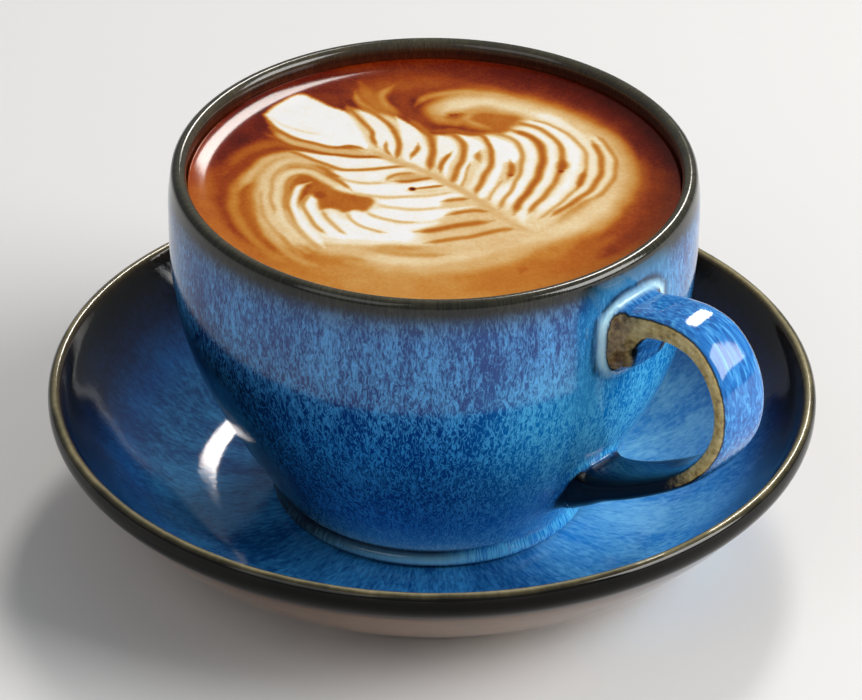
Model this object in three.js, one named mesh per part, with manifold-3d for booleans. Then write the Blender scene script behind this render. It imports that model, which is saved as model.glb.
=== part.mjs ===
import * as THREE from 'three';
import { mergeVertices } from 'three/addons/utils/BufferGeometryUtils.js';
import Module from 'manifold-3d';

// Stoneware cup on its saucer, filled with latte. Millimetres, +Z up, handle towards +X.

// Saucer
const saucerRadius = 75;
const saucerHeight = 29;
const saucerFootRadius = 47;
const saucerFootWidth = 4.5;
const saucerFootHeight = 2.4;
const saucerEdgeHeight = 4;
const wellTop = 5.7;
const wellRadius = 40;

// Cup
const restGap = 0.3;
const cupFootBottom = wellTop + restGap;
const cupFootRadius = 31.1;
const cupFootWidth = 5;
const cupFootHeight = 2.4;
const cupGrooveDepth = 0.6;
const cupTop = 78.1;
const rimRadius = 50.6;
const bellyRadius = 51.1;
const boreRadius = 47.6;
const bowlFloor = 13;

// Drink
const drinkTop = 73.5;
const drinkGap = 0.25;

// Handle: strap centre line and half sizes of its section
const strapHalfWidth = 6.2;
const strapHalfThickness = 2.3;
const sectionPower = 3.2;

// Facets
const turnSegments = 64;
const strapStations = 34;
const sectionPoints = 16;

// outer side of the cup from above the foot groove to below the lip: [radius, height]
const cupOuterSide = [
  [31.5, 10.4],
  [33.2, 13.4],
  [36.6, 19],
  [41, 26.6],
  [45.6, 36],
  [48.2, 43],
  [49.8, 50],
  [bellyRadius - 0.2, 60],
  [bellyRadius, 67],
  [bellyRadius, 72],
  [rimRadius + 0.2, 75.2],
];

// inner side of the bowl from its floor to below the lip
const cupInnerSide = [
  [18, bowlFloor + 0.1],
  [25, bowlFloor + 1.5],
  [31, 18.4],
  [36.2, 26],
  [41.2, 36],
  [44.2, 44],
  [46.2, 52],
  [boreRadius - 0.3, 62],
  [boreRadius, 70],
  [boreRadius, 75.2],
];

// strap: distance from the cup axis, height, half thickness, half width
const strapRows = [
  [46, 65.9, 6.8, 7.6],
  [50.6, 65.9, 6.3, 7.3],
  [52.6, 66.6, 4.3, 6.7],
  [55.5, 67.9, 3, strapHalfWidth],
  [60, 69.2, 2.65, strapHalfWidth],
  [65.6, 69.7, 2.6, strapHalfWidth],
  [70.2, 68.7, 2.5, strapHalfWidth],
  [73.9, 65.6, strapHalfThickness, strapHalfWidth],
  [76.4, 61, 2.15, strapHalfWidth],
  [77.2, 56.2, 2, strapHalfWidth],
  [76.5, 51, 2, 6.1],
  [74.1, 46, 2, 6],
  [70.3, 41.3, 2, 5.9],
  [65, 36.9, 2.1, 5.8],
  [58.8, 32.9, strapHalfThickness, 5.7],
  [52.8, 29.6, 2.6, 5.6],
  [47.2, 27.2, 3.2, 5.7],
  [43, 25.7, 4.4, 6],
  [38.5, 24.2, 5.5, 6.2],
];

const wasm = await Module();
wasm.setup();

function toManifold(geometry) {
  const bare = geometry.clone();
  bare.deleteAttribute('normal');
  bare.deleteAttribute('uv');
  const merged = mergeVertices(bare, 1e-4);
  return new wasm.Manifold(new wasm.Mesh({
    numProp: 3,
    vertProperties: new Float32Array(merged.attributes.position.array),
    triVerts: new Uint32Array(merged.index.array),
  }));
}

function toGeometry(solid) {
  const mesh = solid.getMesh();
  const geometry = new THREE.BufferGeometry();
  geometry.setAttribute('position', new THREE.BufferAttribute(new Float32Array(mesh.vertProperties), 3));
  geometry.setIndex(new THREE.BufferAttribute(new Uint32Array(mesh.triVerts), 1));
  geometry.computeVertexNormals();
  return geometry;
}

// profile runs up the outside from the axis and back to the axis, so faces point out
function turn(rows) {
  const points = rows.map(([radius, height]) => new THREE.Vector2(radius, height));
  const geometry = new THREE.LatheGeometry(points, turnSegments);
  geometry.rotateX(Math.PI / 2);
  return geometry;
}

// arc of a round edge from angle a to angle b, in degrees, both ends included
function arc(centreRadius, centreHeight, radius, a, b, steps) {
  const rows = [];
  for (let i = 0; i <= steps; i += 1) {
    const angle = THREE.MathUtils.degToRad(a + ((b - a) * i) / steps);
    rows.push([centreRadius + radius * Math.cos(angle), centreHeight + radius * Math.sin(angle)]);
  }
  return rows;
}

function saucerProfile() {
  const edgeRound = 1.3;
  const edgeTop = saucerHeight - edgeRound;
  const footInner = saucerFootRadius - saucerFootWidth;
  return [
    [0, saucerFootHeight - 0.6],
    [footInner - 1, saucerFootHeight - 0.6],
    [footInner, 0],
    [saucerFootRadius - 0.6, 0],
    [saucerFootRadius, 0.6],
    [saucerFootRadius + 0.2, saucerFootHeight],
    [52, 4.8],
    [57.4, 7.9],
    [64.3, 13.2],
    [69, 18],
    [72.4, 22],
    [saucerRadius - 0.6, edgeTop - saucerEdgeHeight + 0.7],
    [saucerRadius, edgeTop - saucerEdgeHeight + 2],
    ...arc(saucerRadius - edgeRound, edgeTop, edgeRound, 0, 90, 4),
    ...arc(saucerRadius - edgeRound, edgeTop, edgeRound, 120, 160, 2),
    [71.2, 26],
    [68.4, 22.8],
    [64.8, 18.9],
    [60.4, 14.9],
    [54.6, 10.8],
    [48.6, 7.6],
    [44, 6.2],
    [wellRadius, wellTop],
    [0, wellTop],
  ];
}

function cupProfile() {
  const lipRound = (rimRadius - boreRadius) / 2;
  const lipCentre = (rimRadius + boreRadius) / 2;
  const footInner = cupFootRadius - cupFootWidth;
  const footTop = cupFootBottom + cupFootHeight;
  return [
    [0, footTop],
    [footInner - 1.2, footTop],
    [footInner, cupFootBottom],
    [cupFootRadius - 0.5, cupFootBottom],
    [cupFootRadius, cupFootBottom + 0.5],
    [cupFootRadius, footTop - 0.4],
    [cupFootRadius - cupGrooveDepth, footTop + 0.3],
    [cupFootRadius - cupGrooveDepth, footTop + 0.8],
    ...cupOuterSide,
    ...arc(lipCentre, cupTop - lipRound, lipRound, 0, 180, 8),
    ...cupInnerSide.slice().reverse(),
    [0, bowlFloor],
  ];
}

// solid out to the middle of the cup wall, trims the strap's two ends inside the wall
function wallCoreProfile() {
  const middle = cupInnerSide.slice(2).map(([innerRadius, height]) => [innerRadius + 1.8, height]);
  return [
    [0, middle[0][1]],
    ...middle,
    [0, middle[middle.length - 1][1]],
  ];
}

function drinkProfile() {
  const below = cupInnerSide.filter(([, height]) => height < drinkTop);
  const wetted = below.map(([radius, height]) => [radius - drinkGap, height + drinkGap]);
  return [
    [0, bowlFloor + drinkGap],
    ...wetted,
    [boreRadius - drinkGap, drinkTop],
    [0, drinkTop],
  ];
}

function strapGeometry() {
  const centre = new THREE.CatmullRomCurve3(
    strapRows.map(([reach, height]) => new THREE.Vector3(reach, 0, height)),
  );
  const half = new THREE.CatmullRomCurve3(
    strapRows.map(([, , thickness, width]) => new THREE.Vector3(thickness, width, 0)),
  );
  const positions = [];
  const indices = [];
  for (let i = 0; i <= strapStations; i += 1) {
    const u = i / strapStations;
    const point = centre.getPoint(u);
    const along = centre.getTangent(u);
    const size = half.getPoint(u);
    for (let j = 0; j < sectionPoints; j += 1) {
      const angle = (2 * Math.PI * j) / sectionPoints;
      const c = Math.cos(angle);
      const s = Math.sin(angle);
      const up = size.x * Math.sign(c) * Math.abs(c) ** (2 / sectionPower);
      const side = size.y * Math.sign(s) * Math.abs(s) ** (2 / sectionPower);
      positions.push(point.x - along.z * up, side, point.z + along.x * up);
    }
  }
  for (let i = 0; i < strapStations; i += 1) {
    for (let j = 0; j < sectionPoints; j += 1) {
      const a = i * sectionPoints + j;
      const b = i * sectionPoints + ((j + 1) % sectionPoints);
      indices.push(a, a + sectionPoints, b, b, a + sectionPoints, b + sectionPoints);
    }
  }
  const last = strapStations * sectionPoints;
  for (let j = 1; j < sectionPoints - 1; j += 1) {
    indices.push(0, j, j + 1);
    indices.push(last, last + j + 1, last + j);
  }
  const geometry = new THREE.BufferGeometry();
  geometry.setAttribute('position', new THREE.Float32BufferAttribute(positions, 3));
  geometry.setIndex(indices);
  return geometry;
}

const strap = toManifold(strapGeometry());
const wallCore = toManifold(turn(wallCoreProfile()));
const cupBody = toManifold(turn(cupProfile()));
const cupGeometry = toGeometry(cupBody.add(strap.subtract(wallCore)));
cupGeometry.computeBoundingBox();

// the handle reaches past the saucer on one side, so the axis sits off the middle of the whole
const axisShift = -(cupGeometry.boundingBox.max.x - saucerRadius) / 2;

const glaze = new THREE.MeshStandardMaterial({ color: 0x165a9c, roughness: 0.12, metalness: 0 });
const saucerGlaze = new THREE.MeshStandardMaterial({ color: 0x124a86, roughness: 0.12, metalness: 0 });
const coffee = new THREE.MeshStandardMaterial({ color: 0xb56a2a, roughness: 0.35, metalness: 0 });

const group = new THREE.Group();

function addNode(name, geometry, material) {
  geometry.translate(axisShift, 0, 0);
  const mesh = new THREE.Mesh(geometry, material);
  mesh.name = name;
  group.add(mesh);
}

addNode('saucer', turn(saucerProfile()), saucerGlaze);
addNode('cup', cupGeometry, glaze);
addNode('latte', turn(drinkProfile()), coffee);

export default group;
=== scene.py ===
import math
import bpy
import numpy as np
from mathutils import Matrix, Vector


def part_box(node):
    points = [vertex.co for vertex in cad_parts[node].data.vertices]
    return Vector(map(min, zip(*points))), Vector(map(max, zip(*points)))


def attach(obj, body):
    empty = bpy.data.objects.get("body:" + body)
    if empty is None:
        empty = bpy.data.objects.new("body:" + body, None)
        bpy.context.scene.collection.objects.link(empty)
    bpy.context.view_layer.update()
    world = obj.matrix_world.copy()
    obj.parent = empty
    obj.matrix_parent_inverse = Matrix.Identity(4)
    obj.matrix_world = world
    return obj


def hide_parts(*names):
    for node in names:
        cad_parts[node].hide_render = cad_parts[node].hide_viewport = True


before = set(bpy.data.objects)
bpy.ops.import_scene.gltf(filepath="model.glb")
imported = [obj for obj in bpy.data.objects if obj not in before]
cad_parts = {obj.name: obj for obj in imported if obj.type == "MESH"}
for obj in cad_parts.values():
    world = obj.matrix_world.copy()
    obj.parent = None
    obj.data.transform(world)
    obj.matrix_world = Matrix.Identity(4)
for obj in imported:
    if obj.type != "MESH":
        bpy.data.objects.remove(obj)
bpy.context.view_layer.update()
scene = bpy.context.scene
print("frame loaded:", sorted(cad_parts))

mm = 0.001
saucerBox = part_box("saucer")
axisX = (saucerBox[0].x + saucerBox[1].x) / 2 / mm  # the turning axis sits off the origin, towards -X
viewAngle = math.radians(42)  # how far the photo is taken round from the handle's side


def toLinear(hexText):
    parts = [int(hexText[i:i + 2], 16) / 255 for i in (1, 3, 5)]
    return tuple(c / 12.92 if c <= 0.04045 else ((c + 0.055) / 1.055) ** 2.4 for c in parts) + (1.0,)


def addNode(tree, kind, inputs=None, **settings):
    node = tree.nodes.new(kind)
    for name, value in settings.items():
        setattr(node, name, value)
    for key, value in (inputs or {}).items():
        if isinstance(value, bpy.types.NodeSocket):
            tree.links.new(value, node.inputs[key])
        else:
            node.inputs[key].default_value = value
    return node


def addRamp(tree, factor, stops, interpolation="LINEAR"):
    node = addNode(tree, "ShaderNodeValToRGB", {"Fac": factor})
    ramp = node.color_ramp
    ramp.interpolation = interpolation
    while len(ramp.elements) < len(stops):
        ramp.elements.new(0.5)
    for element, (place, shade) in zip(ramp.elements, stops):
        element.position = place
        element.color = toLinear(shade) if isinstance(shade, str) else (shade, shade, shade, 1)
    return node.outputs["Color"]


def layered(tree, shade, layers):
    # lays each colour over those before it, by its amount
    for amount, colour in layers:
        colour = toLinear(colour) if isinstance(colour, str) else colour
        shade = addNode(tree, "ShaderNodeMix", {"Factor": amount, 6: shade, 7: colour}, data_type="RGBA").outputs[2]
    return shade


def newMaterial(name):
    material = bpy.data.materials.new(name)
    material.use_nodes = True
    material.node_tree.nodes.clear()
    return material, material.node_tree


def smoothRows(rows, step):
    # centripetal curve through the rows, laid out again at about the given step
    pts = np.array(rows, float)
    pts = np.vstack([2 * pts[0] - pts[1], pts, 2 * pts[-1] - pts[-2]])
    out = []
    for p0, p1, p2, p3 in zip(pts[:-3], pts[1:-2], pts[2:-1], pts[3:]):
        t0 = 0.0
        t1 = t0 + math.dist(p0[:2], p1[:2]) ** 0.5
        t2 = t1 + math.dist(p1[:2], p2[:2]) ** 0.5
        t3 = t2 + math.dist(p2[:2], p3[:2]) ** 0.5
        count = max(1, round(math.dist(p1[:2], p2[:2]) / step))
        t = np.linspace(t1, t2, count, endpoint=False)[:, None]
        a1 = (t1 - t) / (t1 - t0) * p0 + (t - t0) / (t1 - t0) * p1
        a2 = (t2 - t) / (t2 - t1) * p1 + (t - t1) / (t2 - t1) * p2
        a3 = (t3 - t) / (t3 - t2) * p2 + (t - t2) / (t3 - t2) * p3
        b1 = (t2 - t) / (t2 - t0) * a1 + (t - t0) / (t2 - t0) * a2
        b2 = (t3 - t) / (t3 - t1) * a2 + (t - t1) / (t3 - t1) * a3
        out.append((t2 - t) / (t2 - t1) * b1 + (t - t1) / (t2 - t1) * b2)
    out.append(pts[-2][None])
    return np.vstack(out)


def arcRows(radius, height, size, start, end, count):
    angles = np.radians(np.linspace(start, end, count))
    return [(radius + size * math.cos(a), height + size * math.sin(a)) for a in angles]


def smoothStep(low, high, value):
    t = np.clip((value - low) / (high - low), 0, 1)
    return t * t * (3 - 2 * t)


def meshCoords(mesh):
    coords = np.empty(len(mesh.vertices) * 3)
    mesh.vertices.foreach_get("co", coords)
    return coords.reshape(-1, 3)


def storeFloat(mesh, name, values):
    layer = mesh.attributes.new(name, "FLOAT", "POINT")
    layer.data.foreach_set("value", np.asarray(values, np.float32))


def addPiece(name, mesh, material):
    piece = bpy.data.objects.new(name, mesh)
    scene.collection.objects.link(piece)
    if material:
        mesh.materials.clear()
        mesh.materials.append(material)
        mesh.polygons.foreach_set("use_smooth", np.ones(len(mesh.polygons), bool))
    return piece


def rowsRound(tree, rows, steps):
    # a grid with a line of points for each row, and every point's row and angle
    count = addNode(tree, "GeometryNodeAttributeDomainSize", {"Geometry": rows}, component="MESH")
    across = addNode(tree, "ShaderNodeMath", {0: steps, 1: 1.0}, operation="ADD").outputs[0]
    grid = addNode(tree, "GeometryNodeMeshGrid", {"Vertices X": count.outputs["Point Count"], "Vertices Y": across})
    index = addNode(tree, "GeometryNodeInputIndex").outputs[0]
    row = addNode(tree, "ShaderNodeMath", {0: index, 1: across}, operation="DIVIDE").outputs[0]
    row = addNode(tree, "ShaderNodeMath", {0: row}, operation="FLOOR").outputs[0]
    column = addNode(tree, "ShaderNodeMath", {0: index, 1: across}, operation="MODULO").outputs[0]
    turn = addNode(tree, "ShaderNodeMath", {0: column, 1: steps}, operation="DIVIDE").outputs[0]
    turn = addNode(tree, "ShaderNodeMath", {0: turn, 1: math.tau}, operation="MULTIPLY").outputs[0]
    return grid.outputs["Mesh"], row, turn


def turningTree():
    # a row of profile points carried round the axis
    tree = bpy.data.node_groups.new("turnedPiece", "GeometryNodeTree")
    tree.interface.new_socket("Profile", in_out="INPUT", socket_type="NodeSocketGeometry")
    tree.interface.new_socket("Steps round", in_out="INPUT", socket_type="NodeSocketInt")
    tree.interface.new_socket("Axis", in_out="INPUT", socket_type="NodeSocketVector")
    tree.interface.new_socket("Glaze", in_out="INPUT", socket_type="NodeSocketMaterial")
    tree.interface.new_socket("Piece", in_out="OUTPUT", socket_type="NodeSocketGeometry")
    given = addNode(tree, "NodeGroupInput").outputs
    grid, row, turn = rowsRound(tree, given["Profile"], given["Steps round"])
    place = addNode(tree, "GeometryNodeInputPosition").outputs[0]
    taken = addNode(tree, "GeometryNodeSampleIndex", {"Geometry": given["Profile"], "Index": row, "Value": place},
                    data_type="FLOAT_VECTOR").outputs[0]
    moved = addNode(tree, "ShaderNodeVectorRotate", {"Vector": taken, "Angle": turn}, rotation_type="Z_AXIS").outputs[0]
    moved = addNode(tree, "ShaderNodeVectorMath", {0: moved, 1: given["Axis"]}, operation="ADD").outputs[0]
    run = addNode(tree, "GeometryNodeInputNamedAttribute", {"Name": "run"}, data_type="FLOAT").outputs[0]
    run = addNode(tree, "GeometryNodeSampleIndex", {"Geometry": given["Profile"], "Index": row, "Value": run},
                  data_type="FLOAT").outputs[0]
    kept = addNode(tree, "GeometryNodeStoreNamedAttribute", {"Geometry": grid, "Name": "run", "Value": run},
                   data_type="FLOAT", domain="POINT")
    shaped = addNode(tree, "GeometryNodeSetPosition", {"Geometry": kept.outputs[0], "Position": moved})
    closed = addNode(tree, "GeometryNodeMergeByDistance", {"Geometry": shaped.outputs[0], "Distance": 1e-6})
    faced = addNode(tree, "GeometryNodeFlipFaces", {"Mesh": closed.outputs[0]})
    real = addNode(tree, "GeometryNodeRealizeInstances", {"Geometry": faced.outputs[0]})
    coated = addNode(tree, "GeometryNodeSetMaterial", {"Geometry": real.outputs[0], "Material": given["Glaze"]})
    addNode(tree, "NodeGroupOutput", {"Piece": coated.outputs[0]})
    return tree


def sweepTree():
    # the same idea for the strap: rows carry a centre, an up direction and two half sizes
    tree = bpy.data.node_groups.new("strapSweep", "GeometryNodeTree")
    tree.interface.new_socket("Centre line", in_out="INPUT", socket_type="NodeSocketGeometry")
    tree.interface.new_socket("Section points", in_out="INPUT", socket_type="NodeSocketInt")
    tree.interface.new_socket("Squareness", in_out="INPUT", socket_type="NodeSocketFloat")
    tree.interface.new_socket("Glaze", in_out="INPUT", socket_type="NodeSocketMaterial")
    tree.interface.new_socket("Strap", in_out="OUTPUT", socket_type="NodeSocketGeometry")
    given = addNode(tree, "NodeGroupInput").outputs
    grid, row, turn = rowsRound(tree, given["Centre line"], given["Section points"])
    spots = {}
    for name, kind in (("up", "FLOAT_VECTOR"), ("thick", "FLOAT"), ("wide", "FLOAT")):
        source = addNode(tree, "GeometryNodeInputNamedAttribute", {"Name": name}, data_type=kind).outputs[0]
        spots[name] = addNode(tree, "GeometryNodeSampleIndex",
                              {"Geometry": given["Centre line"], "Index": row, "Value": source}, data_type=kind).outputs[0]
    place = addNode(tree, "GeometryNodeInputPosition").outputs[0]
    centre = addNode(tree, "GeometryNodeSampleIndex", {"Geometry": given["Centre line"], "Index": row, "Value": place},
                     data_type="FLOAT_VECTOR").outputs[0]
    reach = {}
    for name, wave in (("thick", "COSINE"), ("wide", "SINE")):
        value = addNode(tree, "ShaderNodeMath", {0: turn}, operation=wave).outputs[0]
        sign = addNode(tree, "ShaderNodeMath", {0: value}, operation="SIGN").outputs[0]
        size = addNode(tree, "ShaderNodeMath", {0: value}, operation="ABSOLUTE").outputs[0]
        size = addNode(tree, "ShaderNodeMath", {0: size, 1: given["Squareness"]}, operation="POWER").outputs[0]
        size = addNode(tree, "ShaderNodeMath", {0: size, 1: sign}, operation="MULTIPLY").outputs[0]
        reach[name] = addNode(tree, "ShaderNodeMath", {0: size, 1: spots[name]}, operation="MULTIPLY").outputs[0]
    lift = {0: spots["up"], "Scale": reach["thick"]}
    lift = addNode(tree, "ShaderNodeVectorMath", lift, operation="SCALE").outputs[0]
    side = addNode(tree, "ShaderNodeCombineXYZ", {"Y": reach["wide"]}).outputs[0]
    moved = addNode(tree, "ShaderNodeVectorMath", {0: centre, 1: lift}, operation="ADD").outputs[0]
    moved = addNode(tree, "ShaderNodeVectorMath", {0: moved, 1: side}, operation="ADD").outputs[0]
    shaped = addNode(tree, "GeometryNodeSetPosition", {"Geometry": grid, "Position": moved})
    closed = addNode(tree, "GeometryNodeMergeByDistance", {"Geometry": shaped.outputs[0], "Distance": 1e-6})
    real = addNode(tree, "GeometryNodeRealizeInstances", {"Geometry": closed.outputs[0]})
    coated = addNode(tree, "GeometryNodeSetMaterial", {"Geometry": real.outputs[0], "Material": given["Glaze"]})
    addNode(tree, "NodeGroupOutput", {"Strap": coated.outputs[0]})
    return tree


def grow(name, mesh, tree, settings):
    # runs a tree on a row of points and hands back the plain mesh
    maker = addPiece(name + "Rows", mesh, None)
    modifier = maker.modifiers.new("grow", "NODES")
    modifier.node_group = tree
    for item in tree.interface.items_tree:
        if item.in_out == "INPUT" and item.name in settings:
            modifier[item.identifier] = settings[item.name]
    graph = bpy.context.evaluated_depsgraph_get()
    made = bpy.data.meshes.new_from_object(maker.evaluated_get(graph))
    made.name = name
    bpy.data.objects.remove(maker)
    return made


def runAlong(rows):
    # how far along the profile each row lies
    return np.concatenate([[0], np.cumsum(np.hypot(*np.diff(np.array(rows), axis=0).T))])


def rowMesh(name, rows):
    mesh = bpy.data.meshes.new(name)
    mesh.from_pydata([(r * mm, 0, z * mm) for r, z in rows], [(i, i + 1) for i in range(len(rows) - 1)], [])
    storeFloat(mesh, "run", runAlong(rows))
    return mesh


turned = turningTree()
swept = sweepTree()


def rowStops(rows, run, stops):
    # colour stops named by a point of the profile, as shares of the way along it
    found = []
    for (radius, height), shade in stops:
        nearest = np.hypot(rows[:, 0] - radius, rows[:, 1] - height).argmin()
        found.append((run[nearest] / run[-1], shade))
    return found


def glazeBase(tree, stretch):
    # place in millimetres from the axis, and a place whose streaks run up the wall or in along the dish
    place = addNode(tree, "ShaderNodeTexCoord").outputs["Object"]
    place = addNode(tree, "ShaderNodeVectorMath", {0: place, 1: (axisX * mm, 0, 0)}, operation="SUBTRACT").outputs[0]
    place = addNode(tree, "ShaderNodeVectorMath", {0: place, "Scale": 1000.0}, operation="SCALE").outputs[0]
    flat = addNode(tree, "ShaderNodeVectorMath", {0: place, 1: (1, 1, 0)}, operation="MULTIPLY").outputs[0]
    out = addNode(tree, "ShaderNodeVectorMath", {0: flat}, operation="LENGTH").outputs["Value"]
    ring = addNode(tree, "ShaderNodeVectorMath", {0: flat}, operation="NORMALIZE").outputs[0]
    ring = addNode(tree, "ShaderNodeVectorMath", {0: ring, "Scale": 50.0}, operation="SCALE").outputs[0]
    high = addNode(tree, "ShaderNodeSeparateXYZ", {"Vector": place}).outputs["Z"]
    along = addNode(tree, "ShaderNodeMath", {0: high, 1: out}, operation="ADD").outputs[0]
    along = addNode(tree, "ShaderNodeMath", {0: along, 1: stretch}, operation="MULTIPLY").outputs[0]
    lift = addNode(tree, "ShaderNodeCombineXYZ", {"Z": along}).outputs[0]
    streak = addNode(tree, "ShaderNodeVectorMath", {0: ring, 1: lift}, operation="ADD").outputs[0]
    return place, streak


def glazeShader(tree, shade, height):
    bump = addNode(tree, "ShaderNodeBump", {"Strength": 0.1, "Distance": 0.2 * mm, "Height": height})
    surface = addNode(tree, "ShaderNodeBsdfPrincipled",
                      {"Base Color": shade, "Roughness": 0.08, "IOR": 1.5, "Normal": bump.outputs[0]})
    addNode(tree, "ShaderNodeOutputMaterial", {"Surface": surface.outputs[0]})
    return surface


saucerSet = {
    "stepsRound": 300,
    "step": 0.8,
    "stretch": 0.4,  # streaks in along the dish: the less, the longer
    "paintedLightTurn": 40,  # degrees round from the handle where the painted light in the dish is strongest
    "paintedLightAmount": 0.9,
    "edge": (73.7, 27.7, 1.3),
    "under": [(0, 1.8), (20, 1.8), (40, 1.8), (41.5, 1.5), (42.6, 0.25), (43.6, 0.02), (44.5, 0), (45.6, 0.02),
              (46.4, 0.2), (47, 0.8), (47.3, 2.4), (49, 3.3), (52, 4.8), (57.4, 7.9), (64.3, 13.2), (69, 18),
              (72.4, 22), (74.4, 24.4), (75, 26)],
    "inside": [(71.2, 26), (68.4, 22.8), (64.8, 18.9), (60.4, 14.9), (54.6, 10.8), (48.6, 7.6), (44, 6.2),
               (40, 5.7), (20, 5.7), (0, 5.7)],
    # colour of the glaze along the profile, and of the paler streaks in it; the near-black inside the edge is a painted
    # dark reflection, the cream line on the edge is partly a painted highlight, and the warm grey-brown underside is
    # partly a painted reflection of a wooden table
    "zones": [((0, 1.8), "#a8917f"), ((44.5, 0), "#bfa994"), ((47.3, 2.4), "#7e6350"), ((64.3, 13.2), "#735540"),
              ((70.5, 19.8), "#644a38"), ((72.2, 21.8), "#5a3c26"), ((73, 22.8), "#1a130e"),
              ((74.4, 24.4), "#070605"), ((75, 27.4), "#070605"), ((74.7, 28.5), "#0c0b08"),
              ((74.1, 28.94), "#4a432c"), ((73.7, 29), "#cdc296"), ((73.3, 28.93), "#6a5c38"),
              ((72.8, 28.6), "#2c1f0e"), ((71.8, 26.8), "#10110f"), ((70, 24.6), "#0a0f18"),
              ((66, 20.1), "#091f42"), ((60, 14.6), "#0f4a90"), ((54, 10.4), "#104e8e"), ((48, 7.4), "#115292"),
              ((40, 5.7), "#0e4a88"), ((0, 5.7), "#0e4a88")],
    "streaks": [((0, 1.8), "#bca692"), ((44.5, 0), "#cdb9a4"), ((64.3, 13.2), "#846853"), ((70.5, 19.8), "#745846"),
                ((72.2, 21.8), "#6f4c32"), ((73, 22.8), "#2a1f17"), ((74.4, 24.4), "#0d0b09"),
                ((75, 27.4), "#0d0b09"), ((74.7, 28.5), "#15130d"), ((74.1, 28.94), "#6a6040"),
                ((73.7, 29), "#e2d8b0"), ((73.3, 28.93), "#8a7a4c"), ((72.8, 28.6), "#46321a"),
                ((71.8, 26.8), "#1c1d18"), ((70, 24.6), "#101c30"), ((66, 20.1), "#0f3264"),
                ((60, 14.6), "#1f70bc"), ((54, 10.4), "#3a92d2"), ((48, 7.4), "#3e98d6"), ((40, 5.7), "#368cca"),
                ((0, 5.7), "#368cca")],
    # how glossy: the band outside the edge is dull
    "shine": [((0, 1.8), 0.5), ((71, 20.4), 0.5), ((73, 22.8), 0.12), ((75, 27.4), 0.12), ((74.4, 28.8), 0.5),
              ((0, 5.7), 0.5)],
}


def saucerProfile(s):
    lip = arcRows(*s["edge"], 0, 160, 9)
    return smoothRows(s["under"] + lip + s["inside"], s["step"])


def saucerGlazeMaterial(s, rows, run):
    # Blue glaze flecked in towards the well, painted paler on the handle's side by painted light and nearly black by
    # the edge as a painted dark reflection, a cream break line on the edge that is partly a painted highlight, dull
    # black outside it, warm grey-brown below that is partly a painted reflection of a wooden table
    material, tree = newMaterial("saucerGlaze")
    streak = glazeBase(tree, s["stretch"])[1]
    fibre = addNode(tree, "ShaderNodeTexNoise", {"Vector": streak, "Scale": 1.1, "Detail": 4.0, "Roughness": 0.6,
                                                 "Distortion": 0.5}).outputs["Fac"]
    cloud = addNode(tree, "ShaderNodeTexNoise", {"Vector": streak, "Scale": 0.12, "Detail": 3.0}).outputs["Fac"]
    runs = addNode(tree, "ShaderNodeAttribute", attribute_name="run").outputs["Fac"]
    drift = addNode(tree, "ShaderNodeMath", {0: cloud, 1: 0.5}, operation="SUBTRACT").outputs[0]
    runs = addNode(tree, "ShaderNodeMath", {0: runs, 1: drift}, operation="ADD").outputs[0]
    share = addNode(tree, "ShaderNodeMath", {0: runs, 1: run[-1]}, operation="DIVIDE").outputs[0]
    zones = addRamp(tree, share, rowStops(rows, run, s["zones"]))
    light = addRamp(tree, share, rowStops(rows, run, s["streaks"]))
    cloudy = addNode(tree, "ShaderNodeMath", {0: cloud, 1: 0.8}, operation="MULTIPLY").outputs[0]
    strong = addNode(tree, "ShaderNodeMath", {0: fibre, 1: cloudy}, operation="ADD").outputs[0]
    strong = addNode(tree, "ShaderNodeMapRange", {"Value": strong, "From Min": 0.72, "From Max": 1.12}).outputs[0]
    paintedLight = addNode(tree, "ShaderNodeAttribute", attribute_name="paintedLight").outputs["Fac"]
    # painted light: a paler blue laid over the dish on the handle's side
    paintedLightBlue = addRamp(tree, strong, [(0.0, "#2c96e4"), (1.0, "#80d2fa")])
    surface = glazeShader(tree, layered(tree, zones, [(strong, light), (paintedLight, paintedLightBlue)]), fibre)
    shine = addRamp(tree, share, rowStops(rows, run, s["shine"]))
    tree.links.new(shine, surface.inputs["Specular IOR Level"])
    return material


saucerRows = saucerProfile(saucerSet)
saucerRun = runAlong(saucerRows)
saucerGlaze = saucerGlazeMaterial(saucerSet, saucerRows, saucerRun)
saucerMesh = grow("saucer", rowMesh("saucerProfile", saucerRows), turned,
                  {"Steps round": saucerSet["stepsRound"], "Axis": (axisX * mm, 0, 0), "Glaze": saucerGlaze})
# painted light: the dish is painted paler on the handle's side
saucerPlaces = meshCoords(saucerMesh) / mm - (axisX, 0, 0)
saucerOut = np.hypot(saucerPlaces[:, 0], saucerPlaces[:, 1])
saucerTurn = np.abs(np.degrees(np.arctan2(saucerPlaces[:, 1], saucerPlaces[:, 0])) - saucerSet["paintedLightTurn"])
pale = (1 - smoothStep(25, 75, saucerTurn)) * (1 - smoothStep(54, 68, saucerOut)) * (saucerPlaces[:, 2] > 5.5)
storeFloat(saucerMesh, "paintedLight", saucerSet["paintedLightAmount"] * pale)
saucer = addPiece("saucer", saucerMesh, saucerGlaze)
print("saucer turned:", len(saucerMesh.polygons), "faces")


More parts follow.
